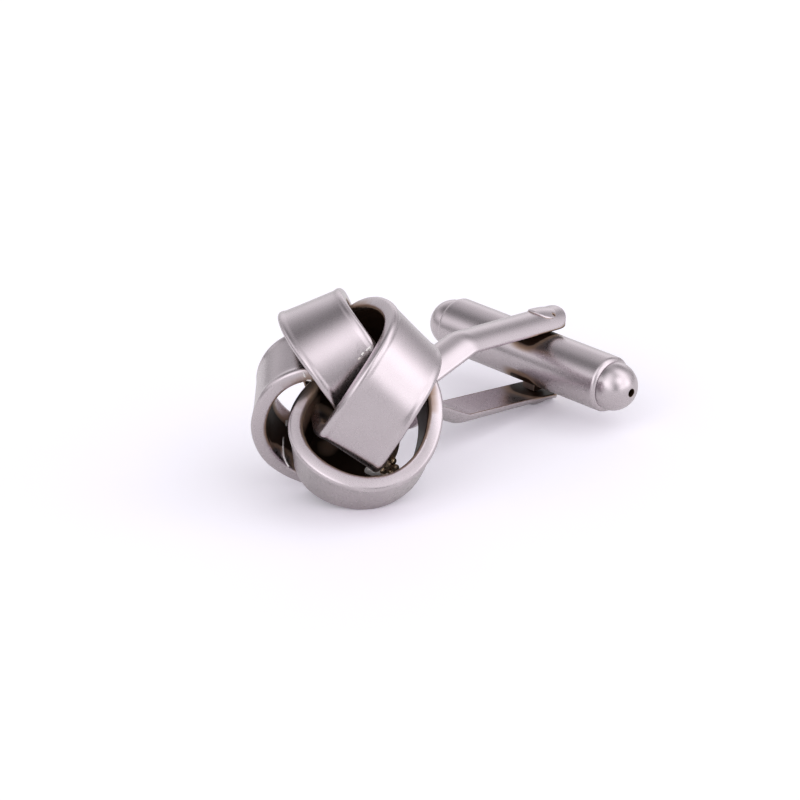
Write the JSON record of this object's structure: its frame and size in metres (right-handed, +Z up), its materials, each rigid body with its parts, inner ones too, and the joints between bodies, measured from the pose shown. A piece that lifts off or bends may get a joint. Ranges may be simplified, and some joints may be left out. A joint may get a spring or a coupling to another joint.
{
  "type": "knot cufflink",
  "caption": "Cufflink with a face of interlinked ribbon loops and a bullet-shaped toggle that swivels between the arms of a forked bracket, in satin grey metal.",
  "frame": {"origin": "on the table, under the middle of the bounding box of the lying cufflink", "axes": "+Z up from the table, +Y level from the knot to the toggle, +X level along the toggle, to the right seen from the knot's face"},
  "size_m": [0.0194, 0.0274, 0.0145],
  "materials": {
    "knot_metal": "satin warm grey plating with a fine sanded grain",
    "bracket_metal": "satin warm grey plating",
    "rivet_metal": "satin warm grey plating",
    "barrel_metal": "satin warm grey plating with a fine sanded grain",
    "cap_metal": "satin warm grey plating, a little smoother than the barrel",
    "block_metal": "satin grey plating"
  },
  "bodies": {
    "post": {"knot": "knot_metal", "bracket": "bracket_metal", "rivet": "rivet_metal"},
    "toggle": {"barrel": "barrel_metal", "left_cap": "cap_metal", "right_cap": "cap_metal", "swivel_block": "block_metal"}
  },
  "joints": [
    {"name": "toggle_swivel", "type": "hinge", "parent": "post", "child": "toggle", "pos_m": [0.0005, 0.01143, 0.00372], "axis": [0.0579, 0.152, 0.9867], "range_deg": [-90, 90]}
  ]
}
